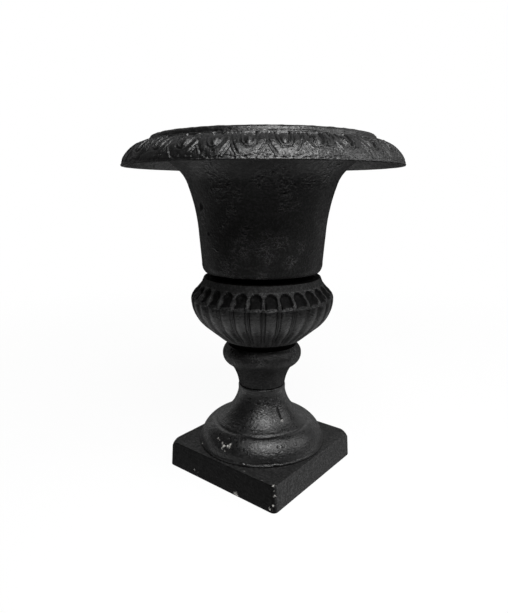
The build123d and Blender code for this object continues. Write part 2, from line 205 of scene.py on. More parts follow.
def sand(x, y, z):
    """Roughness of a sand casting at a point: how far its skin lies off the outline in mm, zero or less."""
    lump = noise.noise(Vector((x, y, z)) / LUMP_MM)
    grit = noise.noise(Vector((y, z, x)) / GRIT_MM)
    return (LUMP_DEPTH * (lump - 1) + GRIT_DEPTH * (grit - 1)) / 2


def square_reach(angle, half, corner):
    """How far a square with rounded corners reaches at an angle, over its half side."""
    a = np.abs((angle + pi / 4) % (pi / 2) - pi / 4)
    flat = half / np.cos(a)
    c = half - corner
    along = c * (np.cos(a) + np.sin(a))
    round_part = along + np.sqrt(np.maximum(along**2 - 2 * c**2 + corner**2, 0))
    return np.where(half * np.tan(a) > c, round_part, flat) / half


def crown(r, angles):
    """Level of the crown that rounds the plinth's upper corners, less so at the corner in front."""
    size = np.where(np.cos(angles + pi / 4) > 0.7, FRONT_CROWN_R, CROWN_R)
    out = np.clip(r - (CROWN_REACH - size), 0, size)
    return PLINTH_TOP + CROWN_MARGIN - size + np.sqrt(size**2 - out**2)


def wander(angles, reach, layer):
    """Slow noise round the axis, the same at every height. Each layer is another pattern."""
    return np.array([noise.noise(Vector((reach * cos(t), reach * sin(t), layer))) for t in angles])


def ripple(angles, along, per_radian, length, layer):
    """Noise along a row, with per_radian waves to a radian, and length mm long from row to row."""
    return np.array([noise.noise(Vector((t * per_radian, along / length, layer))) for t in angles])


def casting(name, rows, angles_of, relief):
    """One closed mesh from rows of an outline.

    angles_of(tag) gives a row's angles, each count a multiple of the smallest. relief(rows, i, angles) gives
    the height of the carving along row i, below zero where it is cut in.
    """
    verts, rings = [], []
    for i in range(len(rows.r)):
        angles = angles_of(rows.tags[i])
        r, level = np.full(len(angles), rows.r[i]), np.full(len(angles), rows.z[i])
        if rows.square[i]:
            r = r * (1 + rows.square[i] * (square_reach(angles, rows.r[i], PLINTH_CORNER_R) - 1))
            level = np.minimum(level, crown(r, angles))
        depth = relief(rows, i, angles)
        if rows.grain[i] > MACHINED:
            depth = depth + rows.grain[i] * np.array(
                [sand(a * cos(t), a * sin(t), rows.z[i]) for a, t in zip(r, angles)])
        r, z = r + depth * rows.nr[i], level + depth * rows.nz[i]
        rings.append((len(verts), depth))
        verts += zip(r * np.cos(angles) * MM, r * np.sin(angles) * MM, z * MM)
    faces, finish = [], []
    for i, ((a, depth), (b, next_depth)) in enumerate(zip(rings, rings[1:] + rings[:1])):
        band = strip(a, len(depth), b, len(next_depth))
        faces += band
        if rows.tags[i] == "flutes" and len(band) == len(depth):
            # Painted shade inside the deeper niches.
            finish += [NICHE_SHADE_PAINT if d < -NICHE_DARK else SATIN_PAINT for d in depth]
        else:
            finish += [FINISH.get(rows.tags[i], GLOSSY_PAINT)] * len(band)
    piece = new_mesh(name, verts, faces)
    piece.data.polygons.foreach_set("material_index", finish)
    return piece


def strip(a, n, b, m):
    """Faces between a ring of n vertices from a, and the next ring of m from b."""
    if n == m:
        return [(a + j, a + (j + 1) % n, b + (j + 1) % n, b + j) for j in range(n)]
    fine, coarse = (a, b) if n > m else (b, a)
    many, few = max(n, m), min(n, m)
    k = many // few
    faces = []
    for j in range(few):
        left, right = coarse + j, coarse + (j + 1) % few
        near = [fine + (j * k + i) % many for i in range(k + 1)]
        fan = [(left, near[i], near[i + 1]) for i in range(k // 2)] + [(left, near[k // 2], right)]
        fan += [(right, near[i], near[i + 1]) for i in range(k // 2, k)]
        faces += [f[::-1] for f in fan] if n < m else fan
    return faces


def new_mesh(name, verts, faces):
    mesh = bpy.data.meshes.new(name)
    mesh.from_pydata(verts, [], faces)
    mesh.polygons.foreach_set("use_smooth", [True] * len(mesh.polygons))
    mesh.update()
    piece = bpy.data.objects.new(name, mesh)
    bpy.context.scene.collection.objects.link(piece)
    return piece


def even(count, turn=0.0):
    """count angles evenly round the axis, from turn degrees on."""
    return radians(turn) + np.arange(count) * 2 * pi / count


# ------------------------------------------------------------------ pedestal
PEDESTAL_COLUMNS = 384
CORNER_CROWDING = 0.6  # the columns stand this much closer together at the plinth's corners
SEAM_DEPTH, SEAM_WIDTH = 0.45, 0.5
CREASE_DEPTH, CREASE_WIDTH = 0.55, 0.5
FOOT_BEAD, FOOT_BEAD_UP, FOOT_BEAD_WIDTH = 1.2, 1.2, 0.9  # small bead round the foot of the torus
COLLAR, COLLAR_FOOT, COLLAR_TOP = 0.45, 6.0, 1.5  # swelling of the stem, and how far below the seam it grows


def pedestal_outline():
    inner = PLINTH_HALF - PLINTH_WALL
    draft = (PLINTH_HALF - PLINTH_TOP_HALF) / PLINTH_TOP
    roof = PLINTH_TOP - PLINTH_WALL
    o = Outline(inner, 0)
    o.line(PLINTH_HALF, 0, "foot", 0, (1, 1)).line(PLINTH_TOP_HALF, PLINTH_TOP, "plinth", 1, (1, 1))
    o.line(TORUS_R, PLINTH_TOP, "plinth_top", 1, (1, 0))
    o.arc(CREASE_R, CREASE, BULGE["torus"], "torus").arc(STEM_R, SEAM, BULGE["trumpet"], "trumpet")
    o.line(REGISTER_R, SEAM, "seat", 0).line(REGISTER_R, REGISTER_TOP, "seat", 0)
    o.line(ROD_HOLE_R, REGISTER_TOP, "seat", 0).line(ROD_HOLE_R, SEAT, "hole", 0)
    o.line(SEAT_R, SEAT, "seat", 0).line(CORE_WAIST_R, CREASE, "core").line(CORE_FOOT_R, PLINTH_TOP, "core")
    o.line(CORE_FOOT_R, roof, "core")
    o.line(inner - roof * draft, roof, "roof", 1, (0, 1)).line(inner, 0, "inner", 1, (1, 1))
    return o


def pedestal_angles(tag):
    u = even(PEDESTAL_COLUMNS)
    return u + CORNER_CROWDING * np.sin(4 * u) / 4


def seam_groove(height, angles):
    """The uneven gap where bowl and pedestal meet, at a height over or under it."""
    uneven = wander(angles, 3, 5)
    return -SEAM_DEPTH * (1 + 0.5 * uneven) * bump(height, SEAM_WIDTH * (1 + 0.4 * uneven))


def pedestal_relief(rows, i, angles):
    uneven = wander(angles, 2, 7)
    crease = -CREASE_DEPTH * bump(rows.z[i] - CREASE - 0.5 * uneven, CREASE_WIDTH)
    if rows.tags[i] == "trumpet":
        collar = COLLAR * float(ramp(SEAM - COLLAR_FOOT, SEAM - COLLAR_TOP, rows.z[i]))
        return seam_groove(rows.z[i] - SEAM, angles) + crease + collar
    if rows.tags[i] == "torus":
        up = rows.z[i] - PLINTH_TOP - FOOT_BEAD_UP
        return crease + FOOT_BEAD * bump(up - 0.4 * uneven, FOOT_BEAD_WIDTH)
    return np.zeros(len(angles))


pedestal_rows = pedestal_outline().rows(soft=0.45, coarse=1.8, fine=1.0, fine_tags=["torus", "trumpet"])
pedestal = casting("pedestal_casting", pedestal_rows, pedestal_angles, pedestal_relief)

# ------------------------------------------------------------------ fluted bowl
FLUTES, BOWL_TURN = 30, 2.8
FLUTE_COLUMNS = 24
NICHE_HALF, NICHE_HEAD, NICHE_BACK_R, NICHE_EDGE = 4.8, 9.5, 7.0, 0.6
NICHE_BACK_AT, NICHE_HEAD_DEPTH = 50.0, 2.6  # radius of the upright back, and the least depth in front of it
SILL_CLIMB = 0.9  # slope of the sill below the back
SWELL, SWELL_AT, SWELL_HALF = 0.3, 1.2, 2.0  # low swelling on the sill, to the right of its middle
CREVICE, CREVICE_END, CREVICE_DEPTH = 1.8, 0.2, 2.2  # dark crevice in from the niche's left side
MOULD_LINE = 305.5  # degrees round the axis, where the halves of the mould met and left a ridge in the cove
FLASH_HEIGHT, FLASH_WIDTH, FLASH_FROM = 0.35, 0.45, (13, 15)  # that ridge, and where it fades in
LOBE_DEPTH, RIDGE_HALF, GROOVE_OFFSET = 2.4, 0.7, 1.1


def bowl_outline():
    knee = (BOWL_R - LOBE_R + LOBE_R * cos(radians(LOBE_ARC)), EQUATOR - LOBE_R * sin(radians(LOBE_ARC)))
    sagitta = LOBE_R * (1 - cos(radians(LOBE_ARC / 2)))
    o = Outline(SOCKET_R, SEAM)
    o.line(STEM_R, SEAM, "seat", 0)
    o.arc(KNOP_FOOT_R - KNOP_OVERHANG, KNOP_FOOT, BULGE["stem"], "stem")
    o.line(KNOP_FOOT_R, KNOP_FOOT, "knop")
    o.arc(KNOP_TOP_R, KNOP_TOP, BULGE["knop"], "knop").line(KNOP_TOP_R, NECK_TOP, "neck")
    o.line(BOWL_FOOT_R, BOWL_FOOT, "neck").line(*knee, "lobes").arc(BOWL_R, EQUATOR, sagitta, "lobes")
    o.arc(SHOULDER_R, SHOULDER, BULGE["shoulder"], "flutes").line(COVE_R, COVE, "flutes")
    o.line(BOWL_LIP_R, BOWL_LIP, "lip").line(MOUTH_R, BOWL_LIP, "seat").line(MOUTH_R, LEDGE, "seat", 0)
    o.line(LEDGE_R, LEDGE, "seat", 0).line(LEDGE_R, LEDGE_FOOT, "cavity")
    for r, z in CAVITY:
        o.line(r, z, "cavity")
    o.line(ROD_HOLE_R, KNOP_FOOT, "cavity").line(ROD_HOLE_R, SOCKET_TOP, "hole", 0)
    o.line(SOCKET_R, SOCKET_TOP, "seat", 0).line(SOCKET_R, SEAM, "seat", 0)
    return o


def bowl_angles(tag):
    fine = tag in ("lobes", "flutes", "lip")
    return even(FLUTES * FLUTE_COLUMNS if fine else FLUTES * FLUTE_COLUMNS // 4, BOWL_TURN)


def bowl_relief(rows, i, angles):
    if rows.tags[i] == "stem":
        return seam_groove(rows.z[i] - SEAM, angles)
    if rows.tags[i] not in ("lobes", "flutes", "lip"):
        return np.zeros(len(angles))
    s, r = rows.up_from("lobes")[i], rows.r[i]
    flash = FLASH_HEIGHT * bump((angles - radians(MOULD_LINE)) * r, FLASH_WIDTH) * float(ramp(*FLASH_FROM, s))
    if rows.tags[i] == "lip":
        return flash * float(ramp(BOWL_LIP, BOWL_LIP - 1, rows.z[i]))
    pitch = 2 * pi / FLUTES
    u = (angles - radians(BOWL_TURN) + pitch / 2) % pitch - pitch / 2
    x = u * r
    half = pitch * r / 2
    if s <= 0:
        return lobes(x, half, r)
    return flutes(x, s, rows, i) + flash


def lobes(x, half, r):
    """Section of the lobes below the equator: rounded crowns, with a groove on each side of a sharp ridge."""
    deep = LOBE_DEPTH * ramp(BOWL_FOOT_R - 1, BOWL_FOOT_R + 7, r)
    flank = half - GROOVE_OFFSET
    fall = 1 - np.sqrt(np.maximum(1 - (np.minimum(np.abs(x), flank) / flank) ** 2, 0))
    ridge = bump(half - np.abs(x), RIDGE_HALF)
    return -deep * fall * (1 - ridge)


def flutes(x, s, rows, i):
    """Round-headed niches above the equator, with an upright back, and below it a sill that climbs to it."""
    r, z, nr, nz = rows.r[i], rows.z[i], rows.nr[i], rows.nz[i]
    edge = np.where(s < NICHE_HEAD, np.abs(x), np.hypot(x, s - NICHE_HEAD)) - NICHE_HALF
    back = max((r - NICHE_BACK_AT) / nr, NICHE_HEAD_DEPTH) - x**2 / 2 / NICHE_BACK_R
    sill = (z - EQUATOR - (BOWL_R - r) * SILL_CLIMB) / (nz + nr * SILL_CLIMB)
    crevice = CREVICE_DEPTH * ramp(CREVICE, CREVICE_END, x + NICHE_HALF) * float(ramp(0.5, 2.5, s))
    sill = sill + crevice - SWELL * bump(x - SWELL_AT, SWELL_HALF)
    return -np.clip(np.minimum(back, sill), 0, None) * ramp(0, NICHE_EDGE, -edge)


bowl_rows = bowl_outline().rows(soft=0.4, coarse=1.8, fine=0.95, fine_tags=["lobes", "flutes"])
bowl = casting("fluted_bowl_casting", bowl_rows, bowl_angles, bowl_relief)

# ------------------------------------------------------------------ bell
EGGS, EGG_TURN = 30, -56.8
EGG_COLUMNS, COLUMNS_OVER = 40, {"ovolo": 1, "bead": 4}  # columns to an egg, and what they are divided by
PLAIN_OVER = 8  # the same where nothing is carved
EGG_SHIFT, EGG_SPREAD = 0.3, 0.05  # the carving is uneven by this many degrees, and this part of its size
egg_shift = np.radians(rng.uniform(-EGG_SHIFT, EGG_SHIFT, EGGS))
egg_scale = 1 + rng.uniform(-EGG_SPREAD, EGG_SPREAD, EGGS)
ARM_SHORT, ARM_LONG = 21.0, 26.5
arm_end = rng.uniform(ARM_SHORT, ARM_LONG, 2 * EGGS)  # how far down each arm of the wide U runs
# Carving, in mm along the rim from the middle of an egg, and down from the ovolo's top.
EGG_HALF, EGG_MIDDLE, EGG_REACH, EGG_HEIGHT = 2.85, 9.6, 7.4, 1.7
CUP_HALF, CUP_STRAIGHT, CUP_ROUND, CUP_DEPTH = 4.4, 8.0, 10.2, 1.5  # the cup that holds the egg
CUP_RIM, CUP_RIM_OFF, CUP_GROOVE, CUP_GROOVE_OFF, CUP_LINE = 0.55, 0.4, 1.0, 1.25, 0.42
U_TOP, U_WAIST, U_FOOT = 2, 13, 25  # the wide U round a cup: its levels and, at each, half its width
U_TOP_HALF, U_WAIST_HALF, U_FOOT_HALF = 8.0, 10.1, 5.1
U_DEPTH, U_WIDTH, U_RIDGE, U_RIDGE_OFF = 0.9, 0.4, 0.5, 0.95  # its line, and the ridge beside that
SECOND_DEPTH, SECOND_OFF = 0.4, 1.9  # finer second line
SHELL, SHELL_OFF = 0.45, 1.6  # rounded tongue between cup and U
FIELD, FIELD_PITCH, FIELD_OFF = 0.10, 1.5, 1.3  # fine ribs outside the U
GROUND, BAND, BAND_AT = 0.5, 0.4, 2.4  # how deep the ground lies, and the band below the fillet
RAGGED, RAGGED_AT = 0.8, 26.0  # notches of the lower lip
FILLET_AT, FILLET_HALF, SWAG, SWAG_HALF = 1.2, 0.75, 0.8, 1.3  # fillet along the top, and how far it hangs


def bell_outline():
    slope = (EAVE - FLARE) / (EAVE_R - FLARE_R)
    run = hypot(1, slope)
    inside = (FLARE_R - slope / run * BELL_WALL, FLARE + BELL_WALL / run)
    mouth_foot = inside[1] + (BELL_MOUTH_R - inside[0]) * slope
    o = Outline(ROD_HOLE_R, BELL_FOOT)
    o.line(LEDGE_R, BELL_FOOT, "floor", 0.5).line(LEDGE_R, RING_FOOT, "seat", 0)
    o.line(RING_R, RING_FOOT, "seat", 0).line(RING_R, BELL_FOOT, "seat", 0.3)
    o.line(BELL_FOOT_R, BELL_FOOT, "floor").arc(EDGE_R, EDGE, BULGE["edge"], "shaft")
    o.line(SHAFT_R, SHAFT, "shaft").arc(BODY_R, BODY, BULGE["shaft"], "shaft")
    o.arc(FLARE_R, FLARE, BULGE["flare"], "flare").line(EAVE_R, EAVE, "flare")
    o.line(OVOLO_TOP_R + RIM_WALL, EAVE - EAVE_DIP, "eave")
    o.line(RIM_R - RIM_WALL, RIM, "eave").line(RIM_R - LIP_R, RIM, "eave")
    o.arc(RIM_R, RIM + LIP_R, LIP_R * LIP_SAG, "ovolo").arc(OVOLO_TOP_R, OVOLO_TOP, BULGE["ovolo"], "ovolo")
    o.line(BEAD_R, OVOLO_TOP, "bead").line(BEAD_R, OVOLO_TOP + BEAD_STEP, "bead")
    o.arc(BEAD_R - BEAD_WIDTH, TOP, BULGE["bead"], "bead").line(BELL_MOUTH_R, TOP, "bead")
    o.line(BELL_MOUTH_R, mouth_foot, "inside").line(*inside, "inside")
    o.arc(BODY_R - BELL_WALL, BODY, -BULGE["flare"], "inside")
    o.arc(SHAFT_R - BELL_WALL, SHAFT, -BULGE["shaft"], "inside")
    o.line(EDGE_R - BELL_WALL, FLOOR, "inside").line(ROD_HOLE_R, FLOOR, "inside", 0.6)
    o.line(ROD_HOLE_R, BELL_FOOT, "hole", 0)
    return o


def bell_angles(tag):
    return even(EGGS * EGG_COLUMNS // COLUMNS_OVER.get(tag, PLAIN_OVER), EGG_TURN)


def bell_relief(rows, i, angles):
    if rows.tags[i] == "ovolo":
        return egg_and_dart(rows.down_from("ovolo")[i], rows.r[i], angles)
    if rows.tags[i] == "bead":
        streak = ripple(angles, rows.z[i], 14, 0.7, 3)
        speck = ripple(angles, rows.z[i], 60, 1.5, 8)
        return -0.3 + 0.3 * np.clip(streak + 0.6 * speck, -1, 1)
    return np.zeros(len(angles))


def egg_and_dart(s, r, angles):
    """Height of the rim's carving at s mm down from the ovolo's top, never above the ovolo."""
    pitch = 2 * pi / EGGS
    turned = angles - radians(EGG_TURN) + pitch / 2
    egg = (turned // pitch).astype(int) % EGGS
    x = ((turned % pitch) - pitch / 2 - egg_shift[egg]) * r / egg_scale[egg]
    side = 2 * egg + (x > 0)
    wave = ripple(angles, s, 30, 3, 9)
    crumb = ripple(angles, s, 60, 1.4, 4)
    brush = ripple(angles, s, 17, 0.8, 6)
    # Cup with the egg in it, inside a thin raised rim and a thin groove.
    down = max(s - CUP_STRAIGHT, 0)
    q = np.hypot(x / CUP_HALF, down / CUP_ROUND)
    cup = (q - 1) * q / np.maximum(np.hypot(x / CUP_HALF**2, down / CUP_ROUND**2), 1e-6)
    recess = -CUP_DEPTH * ramp(0.0, 0.9, -cup)
    inside = 1 - (x / EGG_HALF) ** 2 - ((s - EGG_MIDDLE) / EGG_REACH) ** 2
    dome = EGG_HEIGHT * np.sqrt(np.maximum(inside, 0)) * (cup < -0.5)
    rim = CUP_RIM * bump(cup - CUP_RIM_OFF, CUP_LINE) - CUP_GROOVE * bump(cup - CUP_GROOVE_OFF, CUP_LINE)
    # Wide U round it, a ridge beside that, and a finer second line. It widens to its waist, then closes.
    if s < U_WAIST:
        part = (s - U_TOP) / (U_WAIST - U_TOP)
        wide, lean = U_TOP_HALF + (U_WAIST_HALF - U_TOP_HALF) * part, 0.19
    else:
        part = (s - U_WAIST) / (U_FOOT - U_WAIST)
        wide, lean = U_WAIST_HALF - (U_WAIST_HALF - U_FOOT_HALF) * part**1.6, -0.67 * part**0.6
    outer = (np.abs(x) - wide) / hypot(1, lean)
    fade = ramp(1.8, 3.5, s) * (1 - ramp(-1.5, 1.5, s - arm_end[side]))
    line = (-U_DEPTH * bump(outer, U_WIDTH) + U_RIDGE * bump(outer - U_RIDGE_OFF, 0.5)) * fade
    second = -SECOND_DEPTH * bump(outer - SECOND_OFF, 0.4) * fade * float(ramp(12, 15, s))
    # Tongue between cup and U, and fine ribs outside the U.
    across = np.clip((cup - SHELL_OFF) / np.maximum(cup - SHELL_OFF - outer, 0.1), 0, 1)
    shell = SHELL * np.sqrt(across * (1 - across)) * float(1 - ramp(19, 23, s))
    field = np.where(outer > FIELD_OFF, FIELD * np.sin(2 * pi * s / FIELD_PITCH + 2 * wave), 0)
    carved = (recess + dome + rim + shell + field) * float(ramp(1.6, 2.4, s)) + line + second
    depth = -GROUND - BAND * bump(s - BAND_AT, 1.0) + carved
    depth = depth + 0.10 * wave + 0.14 * brush + crumb * (0.08 + 0.3 * float(ramp(22, 25, s)))
    # Ragged lip along the bottom, and the fillet along the top, hung in swags from the cups' rims.
    depth = depth - RAGGED * bump(s - RAGGED_AT - 2 * wave, 0.6) * ramp(-0.2, 0.2, crumb)
    hang = FILLET_AT + SWAG * bump(np.abs(x) - CUP_HALF - 0.6, SWAG_HALF)
    fillet = bump(s - hang, FILLET_HALF)
    groove = 0.7 * bump(s - hang - 1.7, 0.5) + 0.5 * bump(s, 0.4)
    return np.minimum(depth * (1 - fillet) - groove, 0)


bell_rows = bell_outline().rows(soft=0.3, coarse=3.0, fine=0.59, fine_tags=["ovolo", "bead"], turn=0.45)
bell = casting("bell_casting", bell_rows, bell_angles, bell_relief)
DRILL_SIDES, DRILL_PAST = 40, 2  # the drill is this many mm longer than the floor at each end


def drain_holes(piece):
    """Cuts the drain holes through the floor."""
    cutters, n = [], DRILL_SIDES
    levels = (BELL_FOOT - DRILL_PAST, FLOOR + DRILL_PAST)
    for k in range(DRAIN_COUNT):
        turn = pi / DRAIN_COUNT + k * 2 * pi / DRAIN_COUNT
        at = (DRAIN_CIRCLE_R * cos(turn), DRAIN_CIRCLE_R * sin(turn))
        ring = [(at[0] + DRAIN_R * cos(a), at[1] + DRAIN_R * sin(a)) for a in even(n)]
        verts = [(x * MM, y * MM, z * MM) for z in levels for x, y in ring]
        sides = [(j, (j + 1) % n, n + (j + 1) % n, n + j) for j in range(n)]
        caps = [tuple(range(n - 1, -1, -1)), tuple(range(n, 2 * n))]
        cutters.append(new_mesh("drill", verts, sides + caps))
    for drill in cutters:
        cut = piece.modifiers.new("drain", "BOOLEAN")
        cut.object, cut.operation, cut.solver = drill, "DIFFERENCE", "EXACT"
    solid = bpy.data.meshes.new_from_object(piece.evaluated_get(bpy.context.evaluated_depsgraph_get()))
    piece.modifiers.clear()
    piece.data = solid
    for drill in cutters:
        bpy.data.objects.remove(drill)


drain_holes(bell)

# ------------------------------------------------------------------ tie rod
ROD_R, THREAD_PITCH, THREAD_DEPTH, ROD_CHAMFER = 4.0, 1.25, 0.65, 0.8
ROD_COLUMNS, THREAD_ROWS = 32, 6


def threaded_rod():
    low, high = (p[2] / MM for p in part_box("tie_rod"))
    count = round((high - low) / THREAD_PITCH * THREAD_ROWS)
    angles = even(ROD_COLUMNS)
    verts = []
    for i in range(count + 1):
        z = low + (high - low) * i / count
        phase = (z / THREAD_PITCH - angles / 2 / pi) % 1
        # Flat at crest and root, with straight flanks between.
        r = ROD_R - THREAD_DEPTH * np.clip(np.abs(phase - 0.5) * 2.4 - 0.1, 0, 1)
        r = np.minimum(r, ROD_R - ROD_CHAMFER + min(z - low, high - z))
        verts += [(a * cos(t) * MM, a * sin(t) * MM, z * MM) for a, t in zip(r, angles)]
    n = ROD_COLUMNS
    faces = [(i * n + j, i * n + (j + 1) % n, (i + 1) * n + (j + 1) % n, (i + 1) * n + j)
             for i in range(count) for j in range(n)]
    faces += [tuple(range(n - 1, -1, -1)), tuple(range(count * n, (count + 1) * n))]
    return new_mesh("tie_rod_thread", verts, faces)


rod = threaded_rod()

# ------------------------------------------------------------------ camera
IMAGE_W, IMAGE_H = 508, 613
SENSOR_MM, LENS_MM = 36.0, 29.31
CAMERA_AT = (0.2450, -0.3147, 0.2319)
CAMERA_PITCH, CAMERA_HEADING = 76.74, 38.85

camera_data = bpy.data.cameras.new("camera")
camera_data.lens, camera_data.sensor_width, camera_data.sensor_fit = LENS_MM, SENSOR_MM, "AUTO"
camera = bpy.data.objects.new("camera", camera_data)
camera.location = CAMERA_AT
camera.rotation_euler = (radians(CAMERA_PITCH), 0, radians(CAMERA_HEADING))
bpy.context.scene.collection.objects.link(camera)
bpy.context.scene.camera = camera


# ------------------------------------------------------------------ materials
class Nodes:
    """Short hand for a material's node tree."""

    def __init__(self, name):
        self.material = bpy.data.materials.new(name)
        self.material.use_nodes = True
        self.tree = self.material.node_tree
        self.tree.nodes.clear()
        self.out = self.node("ShaderNodeOutputMaterial")

    def node(self, kind, **settings):
        made = self.tree.nodes.new(kind)
        for key, value in settings.items():
            setattr(made, key, value)
        return made

    def link(self, source, target):
        self.tree.links.new(source, target)

    def put(self, socket, value):
        if isinstance(value, bpy.types.NodeSocket):
            self.link(value, socket)
        else:
            socket.default_value = value

    def math(self, operation, a, b=0.0, clamp=False):
        made = self.node("ShaderNodeMath", operation=operation, use_clamp=clamp)
        self.put(made.inputs[0], a)
        self.put(made.inputs[1], b)
        return made.outputs[0]

    def dot(self, vector, constant):
        made = self.node("ShaderNodeVectorMath", operation="DOT_PRODUCT")
        self.link(vector, made.inputs[0])
        made.inputs[1].default_value = constant
        return made.outputs["Value"]

    def distance(self, at, point):
        made = self.node("ShaderNodeVectorMath", operation="DISTANCE")
        self.link(at, made.inputs[0])
        made.inputs[1].default_value = point
        return made.outputs["Value"]

    def position(self, scale=(1, 1, 1)):
        at = self.node("ShaderNodeTexCoord").outputs["Object"]
        made = self.node("ShaderNodeMapping")
        self.link(at, made.inputs["Vector"])
        made.inputs["Scale"].default_value = scale
        return made.outputs[0]

    def noise(self, at, per_m, detail=2.0, roughness=0.5, kind="FBM"):
        made = self.node("ShaderNodeTexNoise", noise_type=kind)
        self.link(at, made.inputs["Vector"])
        made.inputs["Scale"].default_value = per_m
        made.inputs["Detail"].default_value = detail
        made.inputs["Roughness"].default_value = roughness
        return made.outputs["Fac"]

    def step(self, value, low, high, to_low=0.0, to_high=1.0):
        made = self.node("ShaderNodeMapRange", interpolation_type="SMOOTHSTEP")
        self.put(made.inputs["Value"], value)
        for key, number in (("From Min", low), ("From Max", high), ("To Min", to_low), ("To Max", to_high)):
            made.inputs[key].default_value = number
        return made.outputs["Result"]

    def bump(self, height, distance, normal=None):
        made = self.node("ShaderNodeBump")
        made.inputs["Distance"].default_value = distance
        self.link(height, made.inputs["Height"])
        if normal is not None:
            self.link(normal, made.inputs["Normal"])
        return made.outputs["Normal"]

    def mix(self, factor, a, b):
        made = self.node("ShaderNodeMix", data_type="RGBA")
        self.put(made.inputs["Factor"], factor)
        self.put(made.inputs["A"], a)
        self.put(made.inputs["B"], b)
        return made.outputs["Result"]


# Light grey along the creases of the bell's wrinkles: partly rubbed paint, partly a painted highlight on
# their crests.
RUBBED_AND_GLINT = (0.09, 0.09, 0.091, 1)
GLOSSY = (0.0008, 0.0008, 0.00085, 1), (0.005, 0.005, 0.0052, 1)
SATIN = (0.001, 0.001, 0.001, 1), (0.016, 0.016, 0.0163, 1)
# Lighter paint on the plinth's sides: painted light, standing in for the lamp light on its side at +X. Its
# side at -Y takes SHADED instead.
PLINTH_LIGHT = (0.021, 0.021, 0.0211, 1), (0.049, 0.049, 0.0493, 1)
# Darker paint on the plinth's side at -Y and in the niches, where it stands in for the photograph's shade.
SHADED = (0.002, 0.002, 0.002, 1), (0.006, 0.006, 0.0061, 1)
DARK = (0.010, 0.010, 0.010, 1), (0.029, 0.029, 0.0292, 1)
# Black in the pits: painted shade in their hollows.
PIT_SHADE = (0, 0, 0, 1)
CHIP, DULL_CHIP = (0.55, 0.54, 0.51, 1), (0.16, 0.155, 0.15, 1)
# Waves per metre of what makes the paint uneven, and heights in metres.
PATCHES_PER_M, STREAKS_PER_M, CREASES_PER_M, WRINKLES_PER_M = 42, 150, 170, 340
GLOSS_PER_M, GRIT_PER_M, SPECKS_PER_M = 420, 620, 1300
GRIT_HEIGHT, STREAK_HEIGHT, PIT_DEPTH = 0.00025, 0.0003, 0.0012
ROUGH_LOW, ROUGH_HIGH = 0.24, 0.46
VEIL = 0.5  # roughness added where the paint is seen edge-on
SHADE_FROM, SHADE_FULL = 0.052, 0.0555  # metres towards -Y between which the darker paint begins


def painted_iron(name, colours, gloss, dull, wrinkled, chips=(), pits=(), wrinkles=(), shaded=None):
    """Thick black paint over a sand casting: grit, brush streaks, wrinkles, pits, chips to the metal, painted
    shade and glints.

    gloss is the shader's specular level, dull is added to its roughness, wrinkled is the wrinkles' height in
    metres, and shaded the colours of the side at -Y.
    """
    n = Nodes(name)
    shader = n.node("ShaderNodeBsdfPrincipled", distribution="GGX")
    n.link(shader.outputs[0], n.out.inputs["Surface"])
    at = n.position()
    grit = n.noise(at, GRIT_PER_M, 3, 0.65)
    streaks = n.noise(n.position((1, 1, 5)), STREAKS_PER_M, 4, 0.6)
    wrinkle = n.noise(n.position((1, 1, 1.5)), WRINKLES_PER_M, 4, 0.6, "RIDGED_MULTIFRACTAL")
    patches = n.step(n.noise(at, PATCHES_PER_M, 2), 0.48, 0.62)
    for point, radius in wrinkles:
        patches = n.math("MAXIMUM", patches, n.step(n.distance(at, point), radius * 0.3, radius, 1.0, 0.0))
    crackle = n.math("MULTIPLY", wrinkle, patches)
    normal = n.bump(grit, GRIT_HEIGHT + wrinkled * 0.2)
    normal = n.bump(streaks, STREAK_HEIGHT, normal)
    normal = n.bump(crackle, wrinkled, normal)
    worn = n.math("ADD", n.step(grit, 0.4, 0.72), n.math("MULTIPLY", crackle, 0.5), True)
    base = n.mix(worn, *colours)
    if wrinkles:
        crease = n.noise(n.position((1, 1, 1.6)), CREASES_PER_M, 5, 0.65)
        crease = n.math("ABSOLUTE", n.math("SUBTRACT", crease, 0.5))
        crease = n.math("MULTIPLY", n.step(crease, 0.0, 0.02, 1.0, 0.0), n.math("MULTIPLY", patches, 0.8))
        # Lighter creases, partly a painted highlight on the wrinkles.
        base = n.mix(crease, base, RUBBED_AND_GLINT)
    # Painted shade on the plinth's side at -Y.
    if shaded:
        base = n.mix(n.step(n.dot(at, (0, -1, 0)), SHADE_FROM, SHADE_FULL), base, n.mix(worn, *shaded))
    fine = n.noise(at, SPECKS_PER_M, 3, 0.7)
    for point, radius, cover in chips:
        ragged = n.math("MULTIPLY", n.math("SUBTRACT", fine, 0.1 + 0.4 * cover), radius * 5)
        edge = n.math("ADD", n.distance(at, point), ragged)
        metal = n.mix(n.step(grit, 0.4, 0.6), DULL_CHIP, CHIP)
        base = n.mix(n.step(edge, radius * 1.1, radius * 0.7), base, metal)
    pitted = 0.0
    for point, radius in pits:
        near = n.math("ADD", n.distance(at, point), n.math("MULTIPLY", n.math("SUBTRACT", fine, 0.6), radius))
        pitted = n.math("MAXIMUM", pitted, n.step(near, 0.0, radius, 1.0, 0.0))
    if pits:
        normal = n.bump(n.math("SUBTRACT", 1.0, pitted), PIT_DEPTH, normal)
        # Painted shade: the pits are filled with black.
        base = n.mix(n.step(pitted, 0.2, 0.6), base, PIT_SHADE)
    n.link(base, shader.inputs["Base Color"])
    facing = n.node("ShaderNodeLayerWeight")
    facing.inputs["Blend"].default_value = 0.5
    rough = n.step(n.noise(at, GLOSS_PER_M, 4), 0.25, 0.75, ROUGH_LOW + dull, ROUGH_HIGH + dull)
    veil = n.step(facing.outputs["Facing"], 0.35, 0.95, 0.0, VEIL)
    rough = n.math("ADD", n.math("ADD", rough, veil), pitted, True)
    n.link(rough, shader.inputs["Roughness"])
    shader.inputs["Specular IOR Level"].default_value = gloss
    n.link(normal, shader.inputs["Normal"])
    return n.material


